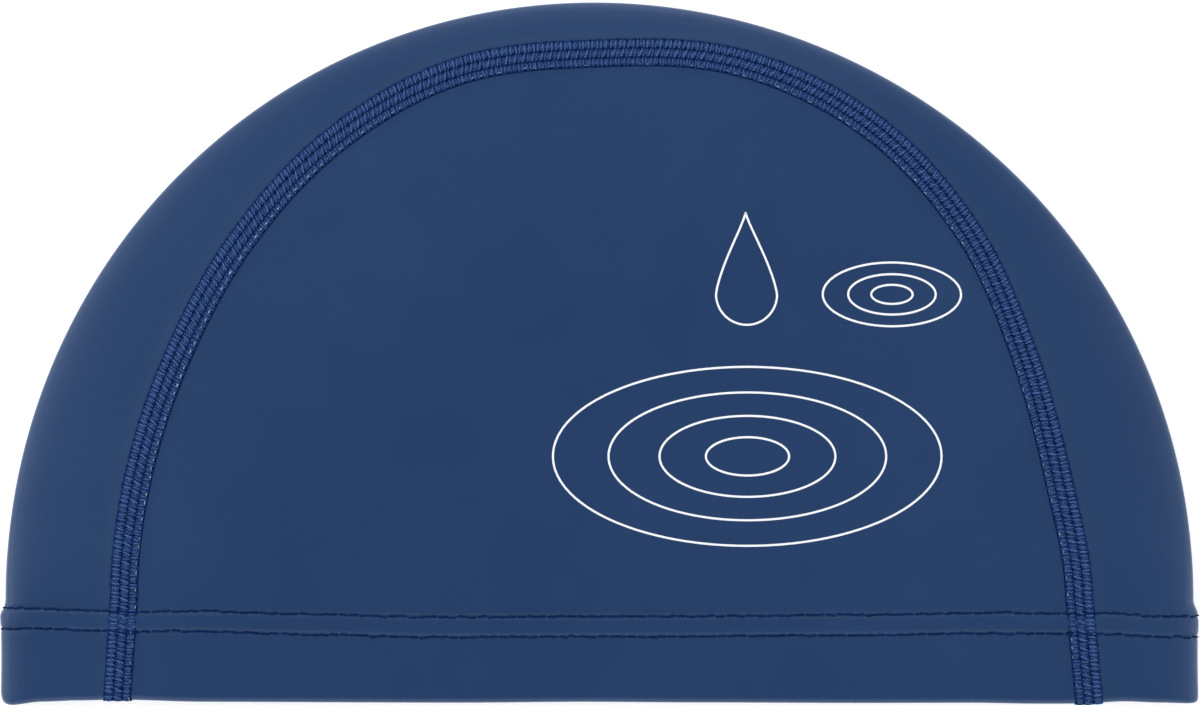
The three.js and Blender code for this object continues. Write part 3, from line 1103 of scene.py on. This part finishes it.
def frayed_edge(name, bed, seed):
    """Flecks of a few fibres each; the draws are in a fixed order, so they stay the same."""
    random = np.random.default_rng(seed)
    share, lift = arc(FIBRE_RINGS, 0.0, FLECK_LIFT)
    bed_stitches = stitch_count(bed)
    stitches = np.arange(1, bed_stitches)
    strength = np.interp(stitches / bed_stitches, FLECKS["place"], FLECKS["strength"])
    shown = random.random(len(stitches)) < mix(*FLECK_CHANCES, strength)
    stitches, strength = stitches[shown], strength[shown]
    middle = EDGE_MARGIN + (stitches + random.normal(0, FLECK_SHIFT, len(stitches))) * STITCH
    half = mix(*FLECK_HALF_LENGTHS, stitches / bed_stitches)
    half *= random.uniform(*FLECK_LENGTH_SPREAD, len(stitches))
    row = np.interp(stitches / bed_stitches, FLECKS["place"], FLECKS["row"])
    row += random.normal(0, FIBRE_SPREAD, len(stitches))
    # Weak flecks are dimmed with painted shade, times a random tone of their own.
    brightness = strength * random.uniform(*FLECK_TONES, len(stitches))
    parts = (middle, half, row, brightness)
    middle, half, row, brightness = (np.repeat(values, FIBRES)[:, None] for values in parts)
    ends = row + random.normal(0, FIBRE_SPREAD, (len(middle), 2))
    middle = middle + random.normal(0, FIBRE_SPREAD, middle.shape)
    along = middle + (2 * share[None] - 1) * half * random.uniform(*FIBRE_LENGTH_SPREAD, middle.shape)
    across = mix(ends[:, :1], ends[:, 1:], share[None])
    tone_and_shade = brightness * np.ones(len(share))
    return lay(name, bed, along, across, lift, tone_and_shade, FLECK_RADIUS, FLECK_RADIUS)


frayed_edges = [
    frayed_edge("seam_upper_frayed_edge", upper_bed, seed=15),
    frayed_edge("seam_lower_frayed_edge", lower_bed, seed=16),
]

# %% [markdown]
# ### Thread finishes
# Cover thread is fluffy textured polyester in a bright mid blue; needle thread is finer, harder
# and darker. Both read the tone that each strand keeps: its own tone times the painted shade
# where it dives and at the needle holes. A Wave texture on the strand's UV place winds two plies
# round it, and a fine noise stands for the loose filaments. The mat of loops has a finish of its
# own, almost black: painted shade, because hardly any light gets down to it.

# %% Finish the threads
TWIST_PITCH = 0.0009
PLIES = 2
# A diagonal Wave texture repeats after twice the length of a straight one.
DIAGONAL_WAVE_LENGTH = 2 * math.pi / 10


def twist(finish):
    """Two plies wound round each strand."""
    uv = finish.nodes.new("ShaderNodeUVMap")
    uv.uv_map = "strand"
    mapping = finish.nodes.new("ShaderNodeMapping")
    mapping.inputs["Scale"].default_value = (1 / TWIST_PITCH, PLIES, 0)
    finish.link(uv.outputs["UV"], mapping.inputs["Vector"])
    wave = finish.nodes.new("ShaderNodeTexWave")
    wave.bands_direction = "DIAGONAL"
    wave.inputs["Scale"].default_value = DIAGONAL_WAVE_LENGTH
    wave.inputs["Distortion"].default_value = 0.8
    finish.link(mapping.outputs["Vector"], wave.inputs["Vector"])
    return wave.outputs["Fac"]


def thread_finish(name, dark, low, high):
    thread = Finish(name, roughness=0.8, Specular_IOR_Level=0.05)
    filaments = thread.noise(0.00009, detail=3)
    wound = thread.combine("MULTIPLY", twist(thread), filaments)
    body = thread.ramp(wound, [(0.05, low), (0.5, high)])
    # The tone darkens the thread towards its dark colour: its own tone and painted shade together.
    tone_and_shade = thread.ramp(thread.stored("tone_and_shade"), [(0.0, dark), (1.0, (1, 1, 1, 1))])
    thread.colour(thread.shade(body, tone_and_shade))
    thread.roughness(thread.spread(filaments, 0.65, 0.85))
    thread.bump(wound, 0.00006)
    return thread


# Each thread's colour where its tone is 0, deep in painted shade.
COVER_DARK = (0.01, 0.07, 0.18, 1)
NEEDLE_DARK = (0.005, 0.04, 0.12, 1)
FIBRE_DARK = (0.15, 0.2, 0.35, 1)
cover_finish = thread_finish("cover_thread", COVER_DARK, srgb(43, 78, 133), srgb(88, 117, 175))
needle_finish = thread_finish("needle_thread", NEEDLE_DARK, srgb(8, 38, 92), srgb(20, 56, 120))
fibre_finish = thread_finish("undyed_fibre", FIBRE_DARK, srgb(164, 180, 212), srgb(208, 218, 238))

# The mat's near-black colour is painted shade.
loops_in_shade = Finish("shaded_thread_bed", roughness=0.9, Specular_IOR_Level=0.05)
loops_noise = loops_in_shade.noise(0.0003, detail=3)
loops_in_shade.colour(loops_in_shade.ramp(loops_noise, [(0.3, srgb(1, 16, 46)), (0.7, srgb(5, 33, 78))]))
loops_in_shade.bump(loops_noise, 0.0001)

for piece in thread_beds:
    piece.data.materials.append(loops_in_shade.material)
for piece in cover_threads + deep_threads:
    piece.data.materials.append(cover_finish.material)
for piece in needle_threads:
    piece.data.materials.append(needle_finish.material)
for piece in frayed_edges:
    piece.data.materials.append(fibre_finish.material)
print("the cap has", len(bpy.data.materials), "finishes so far")

# %% [markdown]
# ## Hem stitches
# The hem is held by a coverstitch: two rows of dark needle thread outside, and a thread that
# zigzags between them inside, over the raw edge. Both go all the way round the mouth, across
# the seams and round the folds, so their bed is a closed belt at the height of each row.

# %% Lay out a belt round the mouth
BELT_FACE_STEPS = 260
BELT_FOLD_STEPS = 16


def belt(row, inner):
    """A bed that runs once round the mouth along a stitch row, outside or inside the hem."""

    def offset_at(lift):
        return 2 * TURN_RADIUS + lift if inner else -lift

    def face(point_on, x):
        y = hem_row(row, x)
        return [[inside(point_on, x, y, offset_at(lift)) for lift in (0, NUDGE)]] * 2

    def fold(side, share):
        y = hem_row(row, side * DOME_RADIUS)
        place = hem_place(side, y)
        return [[fold_point(place, share, offset_at(lift)) for lift in (0, NUDGE)]] * 2

    limit = hem_place(1, hem_row(row, 1)).reach - HEM_FOLD
    xs = np.linspace(-limit, limit, BELT_FACE_STEPS)
    turns = np.linspace(0, 1, BELT_FOLD_STEPS)[1:-1]
    sections = [face(upper_point, x) for x in xs]
    sections += [fold(1, share) for share in turns]
    sections += [face(under_point, x) for x in reversed(xs)]
    sections += [fold(-1, share) for share in reversed(turns)]
    sections.append(sections[0])
    return Bed(sections)


outer_belts = [belt(row, inner=False) for row in (0, 1)]
inner_belts = [belt(row, inner=True) for row in (0, 1)]
print("the mouth is", round(outer_belts[0].length, 3), "m round")

# %% Sew the hem
HEM_STITCH = 0.00215
HEM_THREAD_HALF_WIDTH = 0.00018
HEM_THREAD_HALF_HEIGHT = 0.00014
HEM_THREAD_LIFT = 0.00005
HEM_DIVE = -0.0003
HEM_SPAN = (0.0, 1.0)
HEM_WANDER = 0.0001
HEM_TILT = 0.0002
HEM_RINGS = 7
HEM_TONES = (0.6, 1)
# Painted shade, almost black, where a hem strand dives into the cloth.
HEM_DIVE_SHADE = 0.02
HEM_SHADE_POWER = 0.6
HEM_COVER_RINGS = 5
HEM_COVER_DIVE = -0.0001
HEM_COVER_LIFT = 0.00018
HEM_COVER_HALF_WIDTH = 0.00022
HEM_COVER_HALF_HEIGHT = 0.00011
HEM_COVER_TONES = (0.8, 1)
SEAM_CROSSING = 0.0004
CROSSING_FADE = 0.0006


def crossing(points, on_top):
    """Extra lift where a hem stitch crosses a seam."""
    x = points[..., 0]
    height = hem_row(0, 0)
    reach = np.where(x > 0, hem_seam_reach(1, height), hem_seam_reach(-1, height))
    clear = np.abs(np.abs(x) - reach) - SEAM_HALF_WIDTH
    share = np.clip(-clear / CROSSING_FADE, 0, 1)
    return share * np.where(on_top, SEAM_CROSSING, 0)


def hem_needles(name, seed):
    """The two outer rows: a short strand to a stitch, each a little out of line."""
    random = np.random.default_rng(seed)
    share, lift = arc(HEM_RINGS, HEM_DIVE, HEM_THREAD_LIFT)
    centres, out, tones = [], [], []
    for bed in outer_belts:
        stitches = round(bed.length / HEM_STITCH)
        pitch = bed.length / stitches
        starts = np.arange(stitches) * pitch + random.normal(0, JITTER, stitches)
        along = (starts[:, None] + mix(*HEM_SPAN, share)[None] * pitch) % bed.length
        wander = random.normal(0, HEM_WANDER, (stitches, 1))
        wander = wander + random.normal(0, HEM_TILT, (stitches, 1)) * (share - 0.5)
        middle = np.full(along.shape, 0.5)
        flat, up = bed.at(along, middle, np.zeros(along.shape))
        extra = crossing(flat, up[..., 2] > 0.5)
        points = flat + up * (lift[None] + extra)[..., None]
        points[..., 1] += wander
        centres.append(points)
        out.append(up)
        own_tone = random.uniform(*HEM_TONES, (stitches, 1))
        tones.append(own_tone * dive_shade(share, HEM_DIVE_SHADE, HEM_SHADE_POWER)[None])
    return strands(
        name,
        np.concatenate(centres),
        np.concatenate(out),
        HEM_THREAD_HALF_WIDTH,
        HEM_THREAD_HALF_HEIGHT,
        np.concatenate(tones),
    )


def hem_cover(name, seed):
    """The thread inside the hem: up from the lower row to the upper one and back, in zigzags."""
    random = np.random.default_rng(seed)
    share, lift = arc(HEM_COVER_RINGS, HEM_COVER_DIVE, HEM_COVER_LIFT)
    top, bottom = inner_belts
    stitches = round(top.length / HEM_STITCH)
    marks = np.arange(stitches + 1) / stitches
    half_stitch = 0.5 / stitches
    centres, out = [], []
    for low, high in ((marks[:-1], marks[:-1] + half_stitch), (marks[1:], marks[1:] - half_stitch)):
        middle = np.full(low.shape, 0.5)
        nothing = np.zeros(low.shape)
        from_points, from_up = bottom.at(low * bottom.length, middle, nothing)
        to_points, to_up = top.at(high * top.length, middle, nothing)
        way = share[None, :, None]
        points = from_points[:, None] * (1 - way) + to_points[:, None] * way
        up = from_up[:, None] * (1 - way) + to_up[:, None] * way
        centres.append(points + up * lift[None, :, None])
        out.append(up)
    centres = np.concatenate(centres)
    tones = random.uniform(*HEM_COVER_TONES, (len(centres), 1)) * np.ones((1, len(share)))
    out = np.concatenate(out)
    return strands(name, centres, out, HEM_COVER_HALF_WIDTH, HEM_COVER_HALF_HEIGHT, tones)


hem_rows = hem_needles("hem_needle_thread", seed=21)
hem_inside = hem_cover("hem_cover_thread", seed=22)
hem_finish = thread_finish("hem_thread", NEEDLE_DARK, srgb(0, 34, 88), srgb(8, 54, 118))
hem_rows.data.materials.append(hem_finish.material)
hem_inside.data.materials.append(cover_finish.material)

# %% [markdown]
# ## The print
# The upper panel carries a screen print in thin white lines: a falling drop, and the rings
# that drops make on water. A line is a flat ribbon of ink, half a millimetre wide and a tenth
# thick, that follows the cloth. Each line closes on itself, so each ribbon is a ring.

# %% Draw the print
INK_HALF_WIDTH = 0.00025
INK_THICKNESS = 0.00005
INK_EDGE = 0.00005
RING_SQUASH = 0.46
RING_GROUPS = [
    {"centre": (0.032, 0.0535), "radii": [0.009, 0.019, 0.030, 0.042]},
    {"centre": (0.0635, 0.0885), "radii": [0.0045, 0.0095, 0.015]},
]
DROP_TIP = (0.032, 0.1062)
DROP_ROUND = (0.032, 0.0885)
DROP_RADIUS = 0.0066
DROP_STEPS = 90
DROP_TAPER = 1.2
DROP_FULLNESS = 0.75
LINE_STEP = 0.0009


def ring_line(centre, radius):
    steps = int(2 * math.pi * radius / LINE_STEP)
    turns = np.arange(steps) * 2 * math.pi / steps
    across = centre[0] + radius * np.cos(turns)
    up = centre[1] + RING_SQUASH * radius * np.sin(turns)
    return np.stack([across, up], 1)


def drop_line():
    """A drop: a circle whose top is drawn out into a tip."""
    turns = np.arange(DROP_STEPS) * 2 * math.pi / DROP_STEPS - math.pi / 2
    height = DROP_TIP[1] - DROP_ROUND[1]
    above = np.sin(turns) > 0
    top = np.clip(np.sin(turns), 0, 1)
    pinch = (1 - top**DROP_TAPER) ** DROP_FULLNESS
    x = DROP_ROUND[0] + DROP_RADIUS * np.cos(turns) * np.where(above, pinch, 1)
    y = DROP_ROUND[1] + np.where(above, height * top, DROP_RADIUS * np.sin(turns))
    return np.stack([x, y], 1)


def ink_ribbons(name, lines):
    """A low ribbon with sloping edges along each closed line."""
    vertices, faces = [], []
    section = [
        (-INK_HALF_WIDTH, -INK_THICKNESS),
        (-INK_HALF_WIDTH + INK_EDGE, INK_THICKNESS),
        (INK_HALF_WIDTH - INK_EDGE, INK_THICKNESS),
        (INK_HALF_WIDTH, -INK_THICKNESS),
    ]
    for line in lines:
        first = len(vertices)
        way = np.roll(line, -1, axis=0) - np.roll(line, 1, axis=0)
        way /= np.linalg.norm(way, axis=1, keepdims=True)
        for (x, y), (dx, dy) in zip(line, way):
            for sideways, lift in section:
                vertices.append(inside(upper_point, x - dy * sideways, y + dx * sideways, -lift))
        corners = len(section)
        for i in range(len(line)):
            here, there = first + i * corners, first + (i + 1) % len(line) * corners
            for k in range(corners):
                after = (k + 1) % corners
                faces.append((here + k, here + after, there + after, there + k))
    mesh = bpy.data.meshes.new(name)
    mesh.from_pydata(vertices, [], faces)
    face_outwards(mesh)
    piece = bpy.data.objects.new(name, mesh)
    scene.collection.objects.link(piece)
    print(name, "has", len(lines), "lines")
    return piece


print_lines = [drop_line()]
for group in RING_GROUPS:
    print_lines += [ring_line(group["centre"], radius) for radius in group["radii"]]
print_piece = ink_ribbons("ring_print", print_lines)

ink = Finish("white_ink", roughness=0.6, Specular_IOR_Level=0.3)
ink_grain = ink.noise(0.0004, detail=3)
ink.colour(ink.ramp(ink_grain, [(0.3, srgb(232, 236, 243)), (0.7, srgb(246, 248, 251))]))
ink.roughness(ink.spread(ink_grain, 0.5, 0.7))
ink.bump(ink_grain, 0.000008)
print_piece.data.materials.append(ink.material)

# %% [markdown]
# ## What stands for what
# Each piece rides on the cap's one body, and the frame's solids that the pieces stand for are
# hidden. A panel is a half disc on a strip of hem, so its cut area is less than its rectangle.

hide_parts("side_panel_upper")
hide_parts("side_panel_lower")
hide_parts("crown_strip")
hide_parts("seam_upper")
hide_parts("seam_lower")

cloth_pieces = [upper_panel, lower_panel, crown_strip]
thread_pieces = thread_beds + cover_threads + deep_threads + needle_threads + frayed_edges
thread_pieces += [hem_rows, hem_inside]
for piece in cloth_pieces + thread_pieces + [print_piece]:
    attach(piece, BODY)
